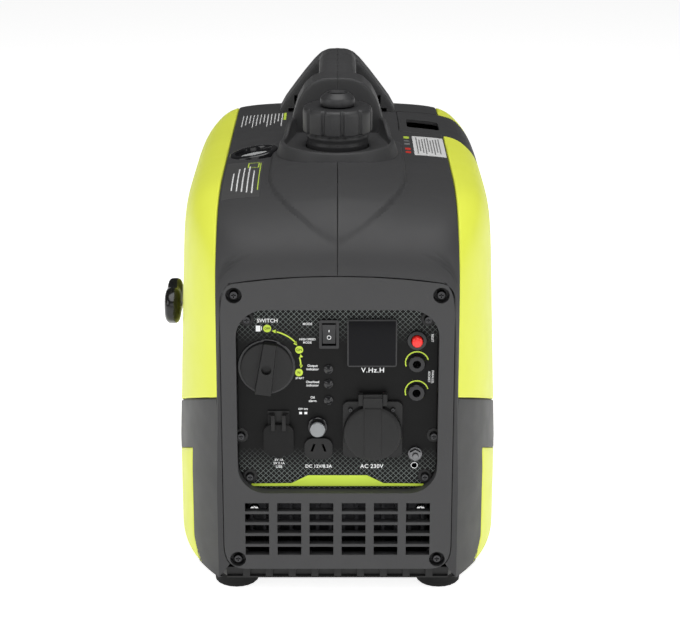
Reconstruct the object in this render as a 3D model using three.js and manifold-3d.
// A portable inverter generator: a 2 kW class suitcase set with a recoil starter.
// Millimetres, +Z up, +X to the right of someone facing the control panel, which looks along -Y.
// The casing's middle plane is worked on at x = 0, and the finished group is moved so that
// the origin lies under the middle of the whole machine, at the floor.

import * as THREE from 'three';
import { mergeVertices } from 'three/addons/utils/BufferGeometryUtils.js';
import Module from 'manifold-3d';

const wasm = await Module();
wasm.setup();

// ---- driving dimensions ----------------------------------------------------------------

const GAP = 0.35; // between two pieces that touch
const HALF_LENGTH = 250; // casing, along Y
const HALF_WIDTH = 144.5; // casing, along X, at its widest
const PLAN_REACH = 339; // how slowly the plan narrows towards both ends
const TOP_Z = 345; // top of the casing on the middle line
const SKIRT_Z = 18; // lower edge of the casing
const SHOULDER_Z = 177; // where the sides begin to curve in
const SHOULDER_POWER = 10.6; // squareness of the shoulders
const CROWN = 0.00038; // fall of the top away from the middle, per millimetre squared
const SIDE_LEAN = 0.046; // how far the sides lean in, as a share, over LEAN_HEIGHT
const LEAN_Z = 100;
const LEAN_HEIGHT = 167;
const NOSE = { from: -123, reach: 127, low: 291 }; // front slope of the top
const TAIL = { from: 170, reach: 80, low: 270 }; // rear slope of the top

const SHELL_DEPTH = 6; // outer face to inner face of the two casing shells
const POCKET_DEPTH = 3.2; // how deep the coloured covers sit in the shells
const COVER_DEPTH = 2.8;
const COVER_EDGE_X = 100.5; // the covers' border on the top and round the front corner

const PANEL_Y = -240; // face of the control panel
const PANEL_BACK_Y = -236;
const FRAME = { halfWidth: 96.5, low: 26, high: 287, corner: 281.5, back: -222 };
const WINDOW = { halfWidth: 84, low: 96, high: 258.5, radius: 24 };
const GRILLE = { halfWidth: 78.5, low: 39, high: 87, columns: 6, rows: 5, bar: 7, slat: 2.4 };
const REAR = { halfWidth: 96, low: 26, high: 262, radius: 22 };

const KNOB = { x: -59, z: 206 };
const ROCKER = { x: -7, z: 235 };
const DISPLAY = { x0: 8, x1: 49.5, z0: 206.6, z1: 248 };
const LAMPS = { x: -7.5, z: { output: 204, overload: 191, oil: 176.5 } };
const RESET = { x: 66, z: 229.5 };
const PARALLEL = { x: 66, upper: 209, lower: 183.6 };
const AC = { x: 29.5, z: 151, flange: 50, hingeY: -245.3, hingeZ: 181 };
const USB = { x: -49.5, z: 140, strapTop: 164.8 };
const BREAKER = { x: -16.7, z: 152 };
const DC = { x: -16, z: 133.5 };
const EARTH = { x: 65.5, z: 128.7 };

const FILLER = { y: -65, neck: 27.5, rim: 359.5, floor: 355, capLow: 368.6, capHigh: 391 };
const GAUGE = { x: -76, y: -46, z: 344, radius: 22.5, window: 16.7, tilt: -10 };
const HANDLE = { front: -12, hoodBack: 25, legFront: 130, legBack: 168, halfWidth: 17.5 };
const FOOT = { x: 88, y: 214, radius: 20, height: 16 };

const CRANK_Z = 150; // crankshaft axis, along Y at x = 0
const ROPE = { y: -62, radius: 2.2, reel: 55 }; // starter rope and the reel that winds it
const GRIP_REACH = 158; // how far the starter grip stands out to the left
const EXHAUST = { x: 32, z: 178 };

// ---- colours and finishes --------------------------------------------------------------

const FINISHES = {
  casing: { color: '#4b4b4c', roughness: 0.62, metalness: 0 },
  lime: { color: '#dff56a', roughness: 0.38, metalness: 0 },
  frame: { color: '#545455', roughness: 0.6, metalness: 0 },
  panel: { color: '#2b2d2e', roughness: 0.5, metalness: 0 },
  black_gloss: { color: '#141516', roughness: 0.28, metalness: 0 },
  black_matte: { color: '#232425', roughness: 0.7, metalness: 0 },
  rubber: { color: '#1c1c1d', roughness: 0.85, metalness: 0 },
  red: { color: '#d6302a', roughness: 0.3, metalness: 0 },
  clear: { color: '#c9cdd0', roughness: 0.15, metalness: 0 },
  steel: { color: '#b8b9ba', roughness: 0.35, metalness: 1 },
  cast: { color: '#8d8f90', roughness: 0.55, metalness: 0.8 },
  copper: { color: '#b46a3c', roughness: 0.45, metalness: 0.7 },
  tank: { color: '#303133', roughness: 0.55, metalness: 0 },
  exhaust: { color: '#6b6460', roughness: 0.6, metalness: 0.8 },
  rope: { color: '#2a2a2a', roughness: 0.95, metalness: 0 },
  porcelain: { color: '#eceae4', roughness: 0.3, metalness: 0 },
};

// ---- making solids ---------------------------------------------------------------------

// A closed geometry as a boolean solid, with its faces turned outwards.
function solid(geometry) {
  const bare = new THREE.BufferGeometry();
  bare.setAttribute('position', geometry.getAttribute('position'));
  if (geometry.index) bare.setIndex(geometry.index);
  const merged = mergeVertices(bare, 1e-4);
  const faces = [];
  const index = merged.index.array;
  for (let i = 0; i < index.length; i += 3) {
    const [a, b, c] = index.slice(i, i + 3);
    if (a !== b && b !== c && c !== a) faces.push(a, b, c);
  }
  const vertProperties = new Float32Array(merged.getAttribute('position').array);
  const build = (tris) =>
    new wasm.Manifold(
      new wasm.Mesh({ numProp: 3, vertProperties, triVerts: new Uint32Array(tris) })
    );
  const made = build(faces);
  return made.volume() > 0 ? made : build(faces.reverse());
}

const join = (...parts) => parts.reduce((whole, part) => whole.add(part));
const cut = (whole, ...parts) => parts.reduce((rest, part) => rest.subtract(part), whole);

const points = (list) => list.map(([a, b]) => new THREE.Vector2(a, b));
const polygon = (list) => new THREE.Shape(points(list));

function circle(a, b, radius, sides = 32) {
  const shape = new THREE.Shape();
  for (let i = 0; i < sides; i++) {
    const angle = ((i + 0.5) / sides) * 2 * Math.PI;
    const at = [a + radius * Math.cos(angle), b + radius * Math.sin(angle)];
    if (i === 0) shape.moveTo(...at);
    else shape.lineTo(...at);
  }
  return shape;
}

function roundBox(a0, a1, b0, b1, r) {
  const shape = new THREE.Shape();
  shape.moveTo(a0 + r, b0);
  shape.lineTo(a1 - r, b0);
  shape.absarc(a1 - r, b0 + r, r, -Math.PI / 2, 0);
  shape.lineTo(a1, b1 - r);
  shape.absarc(a1 - r, b1 - r, r, 0, Math.PI / 2);
  shape.lineTo(a0 + r, b1);
  shape.absarc(a0 + r, b1 - r, r, Math.PI / 2, Math.PI);
  shape.lineTo(a0, b0 + r);
  shape.absarc(a0 + r, b0 + r, r, Math.PI, 1.5 * Math.PI);
  return shape;
}

// Places a shape's own two axes and its depth on the machine's axes.
const PRISM_AXES = {
  x: [new THREE.Vector3(0, 1, 0), new THREE.Vector3(0, 0, 1), new THREE.Vector3(1, 0, 0)],
  y: [new THREE.Vector3(1, 0, 0), new THREE.Vector3(0, 0, 1), new THREE.Vector3(0, -1, 0)],
  z: [new THREE.Vector3(1, 0, 0), new THREE.Vector3(0, 1, 0), new THREE.Vector3(0, 0, 1)],
};

// An outline drawn across an axis and carried along it: (y, z) for x, (x, z) for y, (x, y) for z.
function prism(axis, outline, from, to, arcSteps = 4) {
  const geometry = new THREE.ExtrudeGeometry(outline, {
    depth: to - from,
    bevelEnabled: false,
    curveSegments: arcSteps,
  });
  const place = new THREE.Matrix4().makeBasis(...PRISM_AXES[axis]);
  const start = { x: [from, 0, 0], y: [0, to, 0], z: [0, 0, from] }[axis];
  place.setPosition(...start);
  return solid(geometry.applyMatrix4(place));
}

const rod = (axis, a, b, radius, from, to, sides = 20) =>
  prism(axis, circle(a, b, radius, sides), from, to);

const block = (x0, x1, y0, y1, z0, z1) =>
  solid(
    new THREE.BoxGeometry(x1 - x0, y1 - y0, z1 - z0)
      .translate((x0 + x1) / 2, (y0 + y1) / 2, (z0 + z1) / 2)
  );

// A profile of [radius, place along the axis] points, turned about an axis through (a, b).
function turned(axis, a, b, profile, sides = 20) {
  const geometry = new THREE.LatheGeometry(points(profile), sides);
  if (axis === 'x') geometry.rotateZ(-Math.PI / 2).translate(0, a, b);
  if (axis === 'y') geometry.translate(a, 0, b);
  if (axis === 'z') geometry.rotateX(Math.PI / 2).translate(a, b, 0);
  return solid(geometry);
}

// Skins a list of rings with the same number of points and closes both ends.
function loft(rings) {
  const count = rings[0].length;
  const places = rings.flat();
  const faces = [];
  for (let r = 0; r + 1 < rings.length; r++) {
    for (let i = 0; i < count; i++) {
      const [a, b] = [r * count + i, r * count + ((i + 1) % count)];
      faces.push(a, b, b + count, a, b + count, a + count);
    }
  }
  for (const [ring, first, flip] of [
    [rings[0], 0, true],
    [rings.at(-1), places.length - count, false],
  ]) {
    const middle = ring.reduce((sum, p) => sum.add(p), new THREE.Vector3());
    const hub = places.push(middle.multiplyScalar(1 / count)) - 1;
    for (let i = 0; i < count; i++) {
      const edge = [first + i, first + ((i + 1) % count)];
      faces.push(...(flip ? edge.reverse() : edge), hub);
    }
  }
  const geometry = new THREE.BufferGeometry().setFromPoints(places).setIndex(faces);
  return solid(geometry);
}

const group = new THREE.Group();

// Adds a named piece to the machine.
function piece(name, shape, finish) {
  const { vertProperties, triVerts } = shape.getMesh();
  const geometry = new THREE.BufferGeometry();
  geometry.setAttribute('position', new THREE.BufferAttribute(vertProperties, 3));
  geometry.setIndex(new THREE.BufferAttribute(triVerts, 1));
  const mesh = new THREE.Mesh(geometry, new THREE.MeshStandardMaterial(FINISHES[finish]));
  mesh.name = name;
  group.add(mesh);
  return mesh;
}

// ---- the casing's outer form -----------------------------------------------------------

// Half the casing's width at a distance along the machine.
const planHalf = (y) => HALF_WIDTH * (1 - Math.abs(y / PLAN_REACH) ** 4);

// The height of the top on the middle line; inset moves the surface inwards.
function topHeight(y, inset = 0) {
  const end = y < 0 ? NOSE : TAIL;
  const past = Math.max(0, (Math.abs(y) - Math.abs(end.from)) / (end.reach - inset));
  const rise = TOP_Z - end.low;
  return end.low - inset + rise * Math.sqrt(1 - Math.min(1, past) ** 2);
}

// One cross-section of the casing: straight lower sides, square shoulders and a level top.
const SHOULDER_ANGLES = [0, 5, 15, 30, 45, 60, 75, 85].map((d) => (d * Math.PI) / 180);
const SIDE_HEIGHTS = [SKIRT_Z, LEAN_Z, 150];

function sectionRing(y, inset, low) {
  const half = planHalf(y) - inset;
  const top = topHeight(y, inset);
  const lean = (z) => 1 - (SIDE_LEAN * Math.max(0, z - LEAN_Z)) / LEAN_HEIGHT;
  const side = SIDE_HEIGHTS.map((z, i) => [half * lean(z), i === 0 ? low : z]);
  for (const angle of SHOULDER_ANGLES) {
    const [out, up] = [Math.cos(angle), Math.sin(angle)].map((v) => v ** (2 / SHOULDER_POWER));
    const z = SHOULDER_Z + (top - SHOULDER_Z - CROWN * (half * out) ** 2) * up;
    side.push([half * lean(z) * out, z]);
  }
  const left = side.map(([x, z]) => [-x, z]).reverse();
  return [...side, [0, top], ...left];
}

const END_STEPS = [90, 72, 54, 36, 18].map((d) => Math.sin((d * Math.PI) / 180));
const STATIONS = [
  ...END_STEPS.map((s) => NOSE.from - NOSE.reach * s),
  NOSE.from, 0, TAIL.from,
  ...END_STEPS.map((s) => TAIL.from + TAIL.reach * s).reverse(),
];

// The casing as a closed body. Past both ends it can be carried on, to make a cutter.
function casingBody(inset, low, carryOn = 0) {
  const last = STATIONS.length - 1;
  return loft(
    STATIONS.map((y, i) => {
      const end = i === 0 ? -carryOn : i === last ? carryOn : 0;
      return sectionRing(y, inset, low).map(([x, z]) => new THREE.Vector3(x, y + end, z));
    })
  );
}

// The raised prow on the middle line that carries the filler collar.
const PROW = { from: -240, full: -170, to: -14, half: 57, height: 1.6 };

function prowBody(grow = 0) {
  const steps = [0.02, 0.15, 0.4, 0.7, 1];
  const stations = [...steps.map((s) => PROW.from + (PROW.full - PROW.from) * s), -123, PROW.to];
  return loft(
    stations.map((y) => {
      const short = Math.max(0, (PROW.full - y) / (PROW.full - PROW.from));
      const half = PROW.half * (1 - short ** 2) ** 0.7 + grow;
      const along = Math.min(1, (y - PROW.from) / (-123 - PROW.from));
      const high = topHeight(y) + PROW.height * along + grow;
      const low = topHeight(y) - 12;
      const wall = Math.min(7, half * 0.4);
      return [
        [half, low], [half, high - PROW.height * along - 1], [half - wall, high - 0.6], [0, high],
        [wall - half, high - 0.6], [-half, high - PROW.height * along - 1], [-half, low],
      ].map(([x, z]) => new THREE.Vector3(x, y, z));
    })
  );
}

const outerBody = join(casingBody(0, SKIRT_Z), prowBody());
const grownBody = join(casingBody(-GAP, SKIRT_Z - 1, 1), prowBody(GAP));
const innerBody = casingBody(SHELL_DEPTH, SKIRT_Z - 6, 10);
const pocketFloor = casingBody(POCKET_DEPTH, SKIRT_Z - 6, 10);
const coverFloor = casingBody(COVER_DEPTH, SKIRT_Z - 6, 10);

// ---- regions of the outer skin ---------------------------------------------------------

// Seen from the side, drawn on (y, z): the upper covers' lower edge slants down from the front
// corner and turns level, and the lower trims are wedges whose top edges run parallel to it.
const COVER_SIDE = [[-251, 182], [-22, 95], [251, 95], [251, 400], [-251, 400]];
const TRIM_SIDE = [[-203, 119], [-203, 36], [-222, 17], [52, 17], [44, 22]];

// Seen from above, on (x, y): the cover runs over the right shoulder to a blunt point.
const PLUG_COVER = [[58.5, 45], [104, 40], [113, 37], [124, 20], [131, 6], [136, 12], [134, 60],
  [127, 112], [116, 138], [58.5, 138]];

// An outline with every edge moved outwards by the same distance.
function grown(list, by) {
  const ring = points(list);
  const turn = THREE.ShapeUtils.area(ring) > 0 ? 1 : -1;
  const outward = ring.map((p, i) => {
    const edge = ring[(i + 1) % ring.length].clone().sub(p).normalize();
    return new THREE.Vector2(edge.y * turn, -edge.x * turn);
  });
  return new THREE.Shape(
    ring.map((p, i) => {
      const [before, after] = [outward.at(i - 1), outward[i]];
      const corner = before.clone().add(after).multiplyScalar(by / (1 + before.dot(after)));
      return p.clone().add(corner);
    })
  );
}

const coverOutline = (grow) => grown(COVER_SIDE, grow);
const trimOutline = (grow) => grown(TRIM_SIDE, grow);
const plugCoverRegion = (grow) => prism('z', grown(PLUG_COVER, grow), 240, 400);

const sideRegion = (side, outline, edge) =>
  side < 0 ? prism('x', outline, -200, -edge) : prism('x', outline, edge, 200);

// The opening that the front frame fills: its own outline with an arched top edge.
function frameOutline(grow) {
  const half = FRAME.halfWidth + grow;
  const [low, corner] = [FRAME.low - grow, FRAME.corner + grow];
  const shape = new THREE.Shape();
  shape.moveTo(-half + 18, low);
  shape.lineTo(half - 18, low);
  shape.quadraticCurveTo(half, low, half, low + 22);
  shape.lineTo(half, corner - 16);
  shape.quadraticCurveTo(half, corner - 1, half - 14, corner);
  shape.quadraticCurveTo(0, 2 * (FRAME.high + grow) - corner, 14 - half, corner);
  shape.quadraticCurveTo(-half, corner - 1, -half, corner - 16);
  shape.lineTo(-half, low + 22);
  shape.quadraticCurveTo(-half, low, -half + 18, low);
  return shape;
}

const frameOpening = prism('y', frameOutline(0.6), -252, -200, 6);
const rearOutline = (grow) =>
  roundBox(-REAR.halfWidth - grow, REAR.halfWidth + grow, REAR.low - grow, REAR.high + grow,
    REAR.radius);
const rearOpening = prism('y', rearOutline(0.6), 200, 252);
const ropeHole = rod('x', ROPE.y, CRANK_Z + ROPE.reel, 6, -160, -110);

// ---- casing shells, covers and trims ---------------------------------------------------

function makeCasing() {
  const skin = cut(outerBody, innerBody, frameOpening, rearOpening);
  const gaugeHole = rod('z', GAUGE.x + 1, GAUGE.y, 20.2, 320, 360);
  const neckHole = rod('z', 0, FILLER.y, 40, 320, 360);
  const plugHole = block(65, 110, 60, 118, 300, 360);
  const bottomNotch = block(-95.2, 95.2, -252, 252, SKIRT_Z - 2, 25.6);

  for (const [side, name] of [[-1, 'left'], [1, 'right']]) {
    const half = side < 0 ? block(-200, -0.2, -260, 260, 0, 420) : block(0.2, 200, -260, 260, 0, 420);
    const pockets = join(
      sideRegion(side, coverOutline(GAP), COVER_EDGE_X - GAP),
      sideRegion(side, trimOutline(GAP), COVER_EDGE_X - 4)
    );
    let shell = skin.intersect(half).subtract(pockets.subtract(pocketFloor));
    shell = cut(shell, bottomNotch, neckHole);
    let cover = outerBody
      .intersect(sideRegion(side, coverOutline(0), COVER_EDGE_X))
      .subtract(coverFloor);
    cover = cut(cover, frameOpening, rearOpening);
    const trim = outerBody
      .intersect(sideRegion(side, trimOutline(0), COVER_EDGE_X - 4 + GAP))
      .subtract(coverFloor);
    if (side < 0) {
      shell = cut(shell, gaugeHole, ropeHole);
      cover = cut(cover, ropeHole);
    } else {
      shell = cut(shell, plugHole, plugCoverRegion(GAP).subtract(pocketFloor));
      cover = cut(cover, plugCoverRegion(GAP));
    }
    piece(`shell_${name}`, shell, 'casing');
    piece(`side_cover_${name}`, cover, 'lime');
    piece(`lower_trim_${name}`, trim, 'lime');
  }

  const fingerSlot = prism('z', roundBox(67, 98, 64, 104, 6), 300, 360);
  const plugCover = outerBody.intersect(plugCoverRegion(0)).subtract(coverFloor);
  piece('spark_plug_cover', plugCover.subtract(fingerSlot), 'casing');
}

function makeBaseTray() {
  const outline = (inset) => {
    const side = STATIONS.map((y) => [planHalf(y) - SHELL_DEPTH - inset, y * 0.972]);
    return polygon([...side, ...side.map(([x, y]) => [-x, y]).reverse()]);
  };
  const lip = (y0, y1) => block(-94.8, 94.8, y0, y1, 16.4, 25.2);
  let tray = join(prism('z', outline(0.6), 16.4, 25.2), lip(-247, -236), lip(236, 247));
  tray = tray.subtract(prism('z', outline(12), 20, 30));
  for (let i = 0; i < 10; i++) {
    const x = -88 + i * 19.6; // ribs are left standing between shallow notches
    tray = tray.subtract(block(x - 6.8, x + 6.8, -248, -244.5, 17.8, 26));
  }
  piece('base_tray', tray, 'black_matte');
  for (const [x, side] of [[-FOOT.x, 'left'], [FOOT.x, 'right']]) {
    for (const [y, end] of [[-FOOT.y, 'front'], [FOOT.y, 'rear']]) {
      const r = FOOT.radius;
      const profile = [[0, 0], [r - 2.5, 0], [r - 1, 1.5], [r, FOOT.height], [0, FOOT.height]];
      piece(`foot_${end}_${side}`, turned('z', x, y, profile), 'rubber');
    }
  }
}

function makeFrontFrame() {
  const { halfWidth, low, high, radius } = WINDOW;
  const window = (grow, from, to) =>
    prism('y', roundBox(-halfWidth - grow, halfWidth + grow, low - grow, high + grow, radius + grow),
      from, to);
  let frame = prism('y', frameOutline(0), -HALF_LENGTH, FRAME.back, 6);
  frame = frame.subtract(prism('y', frameOutline(-4), -243, FRAME.back + 1, 6));
  frame = join(frame, window(2.5, -246, -233));
  frame = cut(frame, window(0, -252, -235.6), window(-4, -252, -230));
  const pitchX = (2 * GRILLE.halfWidth + GRILLE.bar) / GRILLE.columns;
  const pitchZ = (GRILLE.high - GRILLE.low + GRILLE.slat) / GRILLE.rows;
  const openings = [];
  for (let c = 0; c < GRILLE.columns; c++) {
    for (let r = 0; r < GRILLE.rows; r++) {
      const x = -GRILLE.halfWidth + c * pitchX;
      const z = GRILLE.low + r * pitchZ;
      openings.push(block(x, x + pitchX - GRILLE.bar, -252, -240, z, z + pitchZ - GRILLE.slat));
    }
  }
  for (const x of [-85, 85]) {
    for (const z of [35, 271]) {
      frame = join(frame, rod('y', x, z, 8.6, -247, -236, 20)); // screw boss
      openings.push(rod('y', x, z, 6.8, -252, -241, 20));
    }
  }
  frame = cut(frame, wasm.Manifold.union(openings));
  piece('front_frame', frame, 'frame');
}

function makeRearCover() {
  let cover = prism('y', rearOutline(0), 244, HALF_LENGTH);
  const rim = cut(prism('y', rearOutline(-2), 234, 245), prism('y', rearOutline(-5), 233, 246));
  cover = join(cover, rim);
  const slots = [rod('y', EXHAUST.x, EXHAUST.z, 22, 240, 252, 32)];
  for (let row = 0; row < 7; row++) {
    const z = 46 + row * 13;
    for (const [x0, x1] of [[-80, -3], [3, 80]]) {
      slots.push(block(x0, x1, 240, 252, z, z + 6.5));
    }
  }
  for (let row = 0; row < 5; row++) {
    const z = 160 + row * 13;
    slots.push(block(-80, -12, 240, 252, z, z + 6.5));
  }
  piece('rear_cover', cut(cover, ...slots), 'frame');
}

// ---- handle, filler and gauge ----------------------------------------------------------

function makeHandle() {
  const arch = [[45, 335], [44, 352], [42, 364], [39.5, 374], [37, 385], [31, 395], [23, 402],
    [15, 405.5], [6, 406.5]];
  const delta = [[58, 335], [56.5, 348], [42.5, 368], [22.5, 394], [16.5, 399.5], [10, 402.5],
    [4, 403]];
  const mirrored = (half) => polygon([...half, ...half.map(([x, z]) => [-x, z]).reverse()]);
  const hood = prism('y', mirrored(arch), HANDLE.front, HANDLE.hoodBack);
  const leg = prism('y', mirrored(delta), HANDLE.legFront, HANDLE.legBack);
  const grip = loft(
    [[-6, 403], [15, 406], [45, 410.5], [80, 413], [115, 411], [140, 406.5], [160, 401]].map(([y, top]) =>
      [
        [-8, 0], [8, 0], [14, -2], [HANDLE.halfWidth, -7], [HANDLE.halfWidth, -19], [12, -27],
        [-12, -27], [-HANDLE.halfWidth, -19], [-HANDLE.halfWidth, -7], [-14, -2],
      ].map(([x, z]) => new THREE.Vector3(x, y, top + z))
    )
  );
  const slots = join(
    block(-45, -31, 120, 160, 353, 363),
    block(31, 45, 120, 160, 353, 363)
  );
  const handle = cut(join(hood, leg, grip), slots, grownBody);
  piece('handle_left', handle.intersect(block(-80, -0.2, -40, 200, 300, 430)), 'casing');
  piece('handle_right', handle.intersect(block(0.2, 80, -40, 200, 300, 430)), 'casing');
}

function makeFillerCollar() {
  const outline = (inset) => {
    const shape = new THREE.Shape();
    const r = 55.5 - inset;
    shape.moveTo(47 - inset, HANDLE.front - GAP - inset);
    shape.lineTo(inset - 47, HANDLE.front - GAP - inset);
    shape.lineTo(-r, FILLER.y);
    shape.absellipse(0, FILLER.y, r, r + 3, Math.PI, 2 * Math.PI);
    return shape;
  };
  let collar = prism('z', outline(0), 336, 370, 10);
  collar = collar.subtract(prism('z', outline(4.5), FILLER.floor, 380, 10));
  const slope = polygon([[-140, FILLER.rim], [-52, FILLER.rim], [-26, 369.5], [-26, 390], [-140, 390]]);
  collar = cut(
    collar,
    prism('x', slope, -80, 80),
    rod('z', 0, FILLER.y, FILLER.neck + GAP, 320, 380, 28),
    rod('z', GAUGE.x, GAUGE.y, GAUGE.radius + 1, 330, 351),
    grownBody
  );
  piece('filler_collar', collar, 'casing');
}

// A dished gauge on a stem, tilted outwards so that it can be read from the left.
function makeFuelGauge() {
  const { radius, window } = GAUGE;
  const placed = (shape) =>
    shape.rotate([0, GAUGE.tilt, 0]).translate([GAUGE.x, GAUGE.y, GAUGE.z]);
  const flange = turned('z', 0, 0, [
    [0, -5], [radius, -5], [radius, -0.8], [radius - 1.4, 0.8], [window + 0.8, 1.4],
    [window - 0.4, 0], [window - 0.6, -2.6], [0, -2.6],
  ], 24);
  const stem = turned('z', 0, 0, [
    [0, -12], [18.4, -12], [18.4, 0], [window - 0.4, 0], [window - 0.6, -2.6], [0, -2.6],
  ], 24);
  piece('fuel_gauge', join(placed(flange).subtract(grownBody), placed(stem)), 'black_gloss');
}

// Thread ridges on the filler neck, between two heights.
function threadProfile(low, high, root, crest, turns) {
  const pitch = (high - low) / turns;
  const profile = [];
  for (let i = 0; i < turns; i++) {
    const z = low + i * pitch;
    profile.push([root, z + pitch * 0.1], [crest, z + pitch * 0.4], [crest, z + pitch * 0.6],
      [root, z + pitch * 0.9]);
  }
  return profile;
}

function makeFuelSystem() {
  const tankBox = (inset, low, high) =>
    prism('z', roundBox(-90 + inset, 90 - inset, -176 + inset, 40 - inset, 24 - inset), low, high, 5);
  const neckWall = turned('z', 0, FILLER.y, [
    [0, 321], [26, 321], [26, FILLER.floor + 0.5],
    ...threadProfile(FILLER.floor + 1, 376, 26, FILLER.neck, 3),
    [25, 380.3], [0, 380.3],
  ], 24);
  let tank = join(tankBox(0, 236, 326), neckWall);
  tank = cut(tank, tankBox(2.5, 238.5, 323.5), rod('z', 0, FILLER.y, 22, 316, 390, 24));
  piece('fuel_tank', tank, 'tank');

  const capGrip = turned('z', 0, FILLER.y, [
    [0, FILLER.capLow], [30.2, FILLER.capLow], [31, 370], [31, 388.5], [29.5, 390.4],
    [22, FILLER.capHigh], [0, FILLER.capHigh],
  ], 30);
  const flutes = [];
  for (let i = 0; i < 10; i++) {
    const angle = ((i + 0.5) * Math.PI) / 5;
    const at = [32.2 * Math.cos(angle), FILLER.y + 32.2 * Math.sin(angle)];
    flutes.push(rod('z', ...at, 3, 360, 388, 8));
  }
  const cap = cut(
    capGrip,
    rod('z', 0, FILLER.y, 28.2, 360, 381.4, 24),
    wasm.Manifold.union(flutes)
  );
  piece('fuel_cap', cap, 'black_matte');
  piece('cap_insert', turned('z', 0, FILLER.y, [
    [0, 366], [20.4, 366], [21.2, 368], [21.2, 381], [0, 381],
  ]), 'rubber');
  piece('vent_knob', turned('z', 0, FILLER.y, [
    [0, 391.35], [14, 391.35], [15.4, 393.5], [15.4, 398], [12.5, 402], [8.5, 403], [7.5, 402.6],
    [6.4, 401.2], [0, 401.2],
  ], 24), 'black_matte');
}

// ---- control panel ---------------------------------------------------------------------

function makePanel() {
  const { halfWidth, low, high, radius } = WINDOW;
  const edge = GAP + 0.1;
  const plate = prism('y', roundBox(-halfWidth + edge, halfWidth - edge, low + edge, high - edge,
    radius - edge), PANEL_Y, PANEL_BACK_Y);
  const through = (x, z, r) => rod('y', x, z, r, -245, -230, r > 10 ? 28 : 12);
  const holes = [
    through(KNOB.x, KNOB.z, 5.4),
    block(ROCKER.x - 7.2, ROCKER.x + 7.2, -245, -230, ROCKER.z - 11.2, ROCKER.z + 11.2),
    block(DISPLAY.x0 + 1.6, DISPLAY.x1 - 1.6, -245, -230, DISPLAY.z0 + 1.6, DISPLAY.z1 - 1.6),
    ...Object.values(LAMPS.z).map((z) => through(LAMPS.x, z, 3.4)),
    through(RESET.x, RESET.z, 6.6),
    through(PARALLEL.x, PARALLEL.upper, 5.9),
    through(PARALLEL.x, PARALLEL.lower, 5.9),
    through(AC.x, AC.z, 21.4),
    block(USB.x - 10.4, USB.x + 10.4, -245, -230, USB.z - 10.4, USB.z + 10.4),
    through(BREAKER.x, BREAKER.z, 5.4),
    block(DC.x - 9.4, DC.x + 9.4, -245, -230, DC.z - 8.4, DC.z + 8.4),
    through(EARTH.x, EARTH.z, 3.4),
  ];
  piece('control_panel', cut(plate, wasm.Manifold.union(holes)), 'panel');
}

const FACE = PANEL_Y - GAP; // what rests on the panel's face starts here

function makeEngineKnob() {
  const disc = turned('y', KNOB.x, KNOB.z, [
    [0, -245.6], [19.8, -245.6], [21.4, -244.6], [22, -243], [22, FACE], [5, FACE], [5, -226],
    [0, -226],
  ], 28);
  const bar = polygon([
    [-4.2, 20.5], [4.2, 20.5], [5.4, 8], [8.2, -12], [8.2, -19.5], [-8.2, -19.5], [-8.2, -12],
    [-5.4, 8],
  ].map(([x, z]) => [KNOB.x + x, KNOB.z + z]));
  piece('engine_knob', join(disc, prism('y', bar, -249.6, -245)), 'black_gloss');
}

function makeRocker() {
  const { x, z } = ROCKER;
  let housing = join(
    prism('y', roundBox(x - 8.3, x + 8.3, z - 12.4, z + 12.4, 1.5), -242.4, FACE),
    block(x - 6.8, x + 6.8, -241, -222, z - 11.7 + 0.9, z + 11.7 - 0.9)
  );
  housing = housing.subtract(block(x - 6, x + 6, -244, -231, z - 9.9, z + 9.9));
  piece('rocker_housing', housing, 'black_gloss');
  const side = [[-243.6, 8.9], [-240.8, 0], [-240.4, -8.9], [-236, -8.9], [-234, 0], [-236, 8.9]];
  piece('rocker_switch', prism('x', polygon(side.map(([y, dz]) => [y, z + dz])), x - 5.6, x + 5.6),
    'black_gloss');
}

function makeDisplay() {
  const { x0, x1, z0, z1 } = DISPLAY;
  let module = join(
    prism('y', roundBox(x0, x1, z0, z1, 2.5), -242.6, FACE),
    block(x0 + 2, x1 - 2, -241, -222, z0 + 2, z1 - 2)
  );
  module = module.subtract(prism('y', roundBox(x0 + 1.6, x1 - 1.6, z0 + 1.6, z1 - 1.6, 1.5),
    -244, -241.6));
  piece('display_module', module, 'black_gloss');
}

function makeLamps() {
  for (const [name, z] of Object.entries(LAMPS.z)) {
    piece(`lamp_${name}`, turned('y', LAMPS.x, z, [
      [0, -243.4], [1.6, -243], [2.8, -241.8], [4.1, -241.2], [4.1, FACE], [3, FACE], [3, -230],
      [0, -230],
    ], 12), 'black_gloss');
  }
}

function makeResetAndBreaker() {
  piece('reset_housing', turned('y', RESET.x, RESET.z, [
    [5.1, -243.2], [8.2, -242.8], [8.6, FACE], [6.3, FACE], [6.3, -224], [0, -224], [0, -230],
    [5.1, -230], [5.1, -243.2],
  ], 16), 'black_gloss');
  piece('reset_button', turned('y', RESET.x, RESET.z, [
    [0, -248.6], [3.4, -248.2], [4.7, -246.8], [4.75, -233.5], [0, -233.5],
  ], 16), 'red');
  piece('breaker_housing', turned('y', BREAKER.x, BREAKER.z, [
    [4.4, -242.6], [7.4, -242.2], [7.8, FACE], [5.1, FACE], [5.1, -222], [0, -222], [0, -232],
    [4.1, -232], [4.1, -242.4], [4.4, -242.6],
  ], 14), 'black_gloss');
  piece('breaker_button', turned('y', BREAKER.x, BREAKER.z, [
    [0, -249.4], [2.8, -249.2], [3.5, -248.4], [3.7, -235], [0, -235],
  ], 14), 'clear');
}

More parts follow.
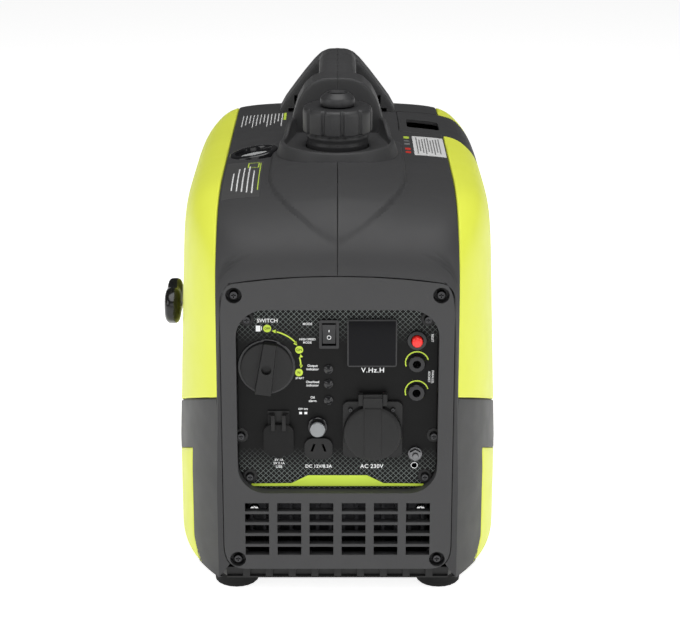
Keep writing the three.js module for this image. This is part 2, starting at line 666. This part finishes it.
function makeSockets() {
  // Two parallel sockets: turned housings with a blind hole for a shrouded plug.
  for (const [name, z] of [['upper', PARALLEL.upper], ['lower', PARALLEL.lower]]) {
    piece(`parallel_socket_${name}`, turned('y', PARALLEL.x, z, [
      [3.4, -243.6], [6.6, -243.6], [7.4, -242.6], [7.4, FACE], [5.6, FACE], [5.6, -222], [0, -222],
      [0, -226], [3.4, -226], [3.4, -243.6],
    ], 16), 'black_gloss');
  }

  // 230 V outlet: a square flange, a round well with two pin holes, and ears for the lid.
  const { x, z, flange } = AC;
  const half = flange / 2;
  let outlet = join(
    prism('y', roundBox(x - half, x + half, z - half, z + half, 5), -243.2, FACE),
    rod('y', x, z, 21, -241, -218, 28),
    block(x - 12, x - 8.4, -248, -242, 174, 184),
    block(x + 8.4, x + 12, -248, -242, 174, 184)
  );
  outlet = outlet.subtract(rod('y', x, z, 19.4, -244, -226, 28));
  outlet = cut(outlet, rod('y', x - 9.5, z, 2.4, -230, -221, 10),
    rod('y', x + 9.5, z, 2.4, -230, -221, 10));
  piece('ac_socket', outlet, 'black_matte');

  // Its lid: a round cover on a strap, with a barrel between the ears.
  const lidZ = z - 2;
  const lid = join(
    turned('y', x, lidZ, [
      [0, -249.4], [21, -249.4], [24.2, -248], [24.8, -245.6], [24.8, -243.6], [0, -243.6],
    ], 28),
    block(x - 8, x + 8, -249, -245.4, z + 16, AC.hingeZ),
    rod('x', AC.hingeY, AC.hingeZ, 2.6, x - 8, x + 8, 16)
  );
  piece('ac_socket_lid', lid, 'black_matte');

  // 12 V outlet: round-sided face with two slanted slots.
  let dc = join(
    prism('y', roundBox(DC.x - 11.8, DC.x + 11.8, DC.z - 9.4, DC.z + 9.4, 7), -242.8, FACE),
    block(DC.x - 9, DC.x + 9, -241, -222, DC.z - 8, DC.z + 8)
  );
  for (const side of [-1, 1]) {
    const slot = [[-1, -3.4], [1, -3.4], [1, 3.4], [-1, 3.4]].map(([a, b]) => [
      DC.x + side * (4.6 + a - b * 0.35), DC.z + 1 + b,
    ]);
    dc = dc.subtract(prism('y', polygon(side < 0 ? slot.reverse() : slot), -244, -230));
  }
  piece('dc_socket', dc, 'black_matte');

  // USB outlet with two ports, under a rubber flap that hangs from two straps.
  let usb = join(
    prism('y', roundBox(USB.x - 12, USB.x + 12, USB.z - 11.4, USB.z + 12, 3), -241.8, FACE),
    block(USB.x - 10, USB.x + 10, -241, -222, USB.z - 10, USB.z + 10)
  );
  usb = usb.subtract(block(USB.x - 7, USB.x - 1.4, -243, -230, USB.z - 6.4, USB.z + 6.4));
  usb = usb.subtract(block(USB.x + 1.4, USB.x + 7, -243, -230, USB.z - 6.4, USB.z + 6.4));
  usb = join(usb, block(USB.x - 9, USB.x + 9, -241.6, FACE, USB.z + 11, USB.strapTop + 2.4));
  piece('usb_socket', usb, 'black_matte');
  const flap = join(
    prism('y', roundBox(USB.x - 12.6, USB.x + 12.6, 128.4, 156, 7), -245.6, -242.15),
    block(USB.x - 8.6, USB.x - 3.6, -244, -242.15, 154, USB.strapTop),
    block(USB.x + 3.6, USB.x + 8.6, -244, -242.15, 154, USB.strapTop),
    prism('y', roundBox(USB.x - 4, USB.x + 4, 126.4, 131, 2), -244.6, -242.15)
  );
  piece('usb_cover', flap, 'rubber');

  // Earth stud with its nut and washer.
  piece('earth_terminal', join(
    turned('y', EARTH.x, EARTH.z, [
      [0, -249], [2.2, -249], [2.7, -248.4], [2.7, -242], [6, -242], [6, FACE], [2.7, FACE],
      [2.7, -228], [0, -228],
    ], 12),
    rod('y', EARTH.x, EARTH.z, 5.2, -246, -241.8, 6)
  ), 'steel');
}

// ---- engine, alternator and starter ----------------------------------------------------

function makeEngine() {
  const shaftHole = rod('y', 0, CRANK_Z, 11.4, 10, 160, 28);
  let crankcase = join(
    prism('y', roundBox(-62, 62, 62, 205, 16), 20.4, 150),
    block(-74, 74, 34, 138, 62, 70)
  );
  crankcase = cut(crankcase, shaftHole, block(-46, 46, 36, 134, 80, 190));

  // The cylinder leans to the right over the crankcase, with cooling fins and a head.
  const lean = new THREE.Matrix4().makeRotationY(Math.PI / 4);
  lean.setPosition(6, 88, 152);
  const upright = (geometry) => solid(geometry.applyMatrix4(lean));
  const fin = (z, size, depth) =>
    upright(new THREE.BoxGeometry(size, size, depth).translate(0, 0, z));
  const barrelGeometry = new THREE.CylinderGeometry(29, 29, 62, 28).rotateX(Math.PI / 2);
  let cylinder = upright(barrelGeometry.translate(0, 0, 76));
  for (let i = 0; i < 5; i++) cylinder = cylinder.add(fin(64 + i * 8, 76, 3));
  cylinder = cylinder.add(fin(107, 66, 14));
  const grownCase = prism('y', roundBox(-62.4, 62.4, 61.6, 205.4, 16), 20, 150.4);
  cylinder = cylinder.subtract(grownCase);
  piece('crankcase', crankcase, 'cast');

  const plug = new THREE.CylinderGeometry(7, 9, 34, 16).rotateX(Math.PI / 2);
  const plugSolid = upright(plug.translate(0, 0, 114.4 + 17));
  piece('cylinder', cylinder, 'cast');
  piece('spark_plug', plugSolid, 'porcelain');

  // Crankshaft, with the alternator's rotor cup and its cooling fan at the front end.
  const rotor = turned('y', 0, CRANK_Z, [
    [0, -36], [72, -36], [72, 4], [65, 4], [65, -31], [18, -31], [18, -12], [11, -12], [11, 146],
    [0, 146],
  ], 24);
  const blades = [];
  for (let i = 0; i < 12; i++) {
    const blade = new THREE.BoxGeometry(34, 4.5, 2.4).translate(50, -37.6, 0);
    blade.rotateY((i * Math.PI) / 6).translate(0, 0, CRANK_Z);
    blades.push(solid(blade));
  }
  piece('crankshaft_rotor', rotor.add(wasm.Manifold.union(blades)), 'steel');
  let stator = turned('y', 0, CRANK_Z, [
    [30, -26], [60, -26], [60, 2], [40, 2], [40, 20], [30, 20], [30, -26],
  ], 24);
  for (let i = 0; i < 12; i++) {
    const slot = new THREE.BoxGeometry(14, 34, 5).translate(55, -12, 0);
    slot.rotateY(((i + 0.5) * Math.PI) / 6).translate(0, 0, CRANK_Z);
    stator = stator.subtract(solid(slot));
  }
  piece('stator', stator, 'copper');

  let muffler = join(
    prism('y', roundBox(-72, 78, 128, 216, 18), 158, 226),
    rod('y', EXHAUST.x, EXHAUST.z, 14, 224, 249.4, 28)
  );
  muffler = muffler.subtract(rod('y', EXHAUST.x, EXHAUST.z, 11, 200, 252, 24));
  piece('muffler', muffler, 'exhaust');

  const bore = rod('x', 88, 236, 11, -40, 40, 20);
  piece('carburettor', cut(join(
    block(-16, 8, 72, 106, 206, 258),
    rod('x', 88, 236, 15, -24, 18, 20)
  ), bore), 'cast');
  let filter = prism('x', roundBox(48, 150, 212, 302, 12), -104, -24.4);
  filter = filter.subtract(rod('x', 88, 236, 11, -60, -20, 20));
  piece('air_filter_box', filter, 'black_matte');

  for (const [x, side] of [[-60, 'left'], [60, 'right']]) {
    for (const [y, end] of [[46, 'front'], [126, 'rear']]) {
      piece(`engine_mount_${end}_${side}`, turned('z', x, y, [
        [0, 20.4], [15, 20.4], [12, 30], [12, 52], [15, 61.6], [0, 61.6],
      ], 14), 'rubber');
    }
  }
}

function makeStarter() {
  const ropeZ = CRANK_Z + ROPE.reel;
  let housing = turned('y', 0, CRANK_Z, [
    [0, -84], [70, -84], [80, -76], [80, -40.6], [77.5, -40.6], [77.5, -75], [69, -81.5],
    [6, -81.5], [6, -54], [0, -54],
  ], 24);
  const vents = [];
  for (let i = 0; i < 8; i++) {
    const angle = ((i + 0.5) * Math.PI) / 4;
    vents.push(rod('y', 46 * Math.cos(angle), CRANK_Z + 46 * Math.sin(angle), 9, -90, -78, 8));
  }
  housing = cut(housing, wasm.Manifold.union(vents), block(-90, -40, -68, -56, ropeZ - 6, ropeZ + 6));
  piece('recoil_housing', housing, 'black_matte');
  piece('recoil_reel', turned('y', 0, CRANK_Z, [
    [6.4, -70], [60, -70], [60, -67.4], [ROPE.reel - 2.5, -66.4], [ROPE.reel - 2.5, -57.6],
    [60, -56.6], [60, -54], [6.4, -54], [6.4, -70],
  ], 24), 'black_matte');
  const ropeEnd = -142.6;
  piece('starter_rope', rod('x', ROPE.y, ropeZ, ROPE.radius, ropeEnd, -1, 10), 'rope');
  // The grip is a blunt D across, and its ends round off towards the casing.
  const across = [[0, -15], [6, -15], [11, -11], [14, -4], [15.2, 3], [14.2, 9], [11, 13.5],
    [6, 15], [0, 14]];
  const inner = 142.8;
  const ends = [[-32, 0.6], [-27, 0.84], [-16, 0.98], [0, 1], [16, 0.98], [27, 0.84], [32, 0.6]];
  const grip = loft(
    ends.map(([y, share]) =>
      across.map(([out, up]) =>
        new THREE.Vector3(-inner - out * share, ROPE.y + y, ropeZ + 3 + up * (0.4 + 0.6 * share)))
    )
  );
  piece('starter_grip', grip, 'black_gloss');
}

function makeInverter() {
  let module = block(-78, 78, -206, -176, 34, 116);
  for (let i = 0; i < 14; i++) {
    const x = -76 + i * 11.4;
    module = module.add(block(x, x + 3, -218, -205, 36, 114));
  }
  piece('inverter_module', module, 'cast');
}

makeBaseTray();
makeCasing();
makeFrontFrame();
makeRearCover();
makeHandle();
makeFillerCollar();
makeFuelGauge();
makeFuelSystem();
makePanel();
makeEngineKnob();
makeRocker();
makeDisplay();
makeLamps();
makeResetAndBreaker();
makeSockets();
makeEngine();
makeStarter();
makeInverter();

// The starter grip stands out on the left, so the middle of the whole machine lies left of the
// casing's middle plane.
group.position.x = (GRIP_REACH - HALF_WIDTH) / 2;

export default group;
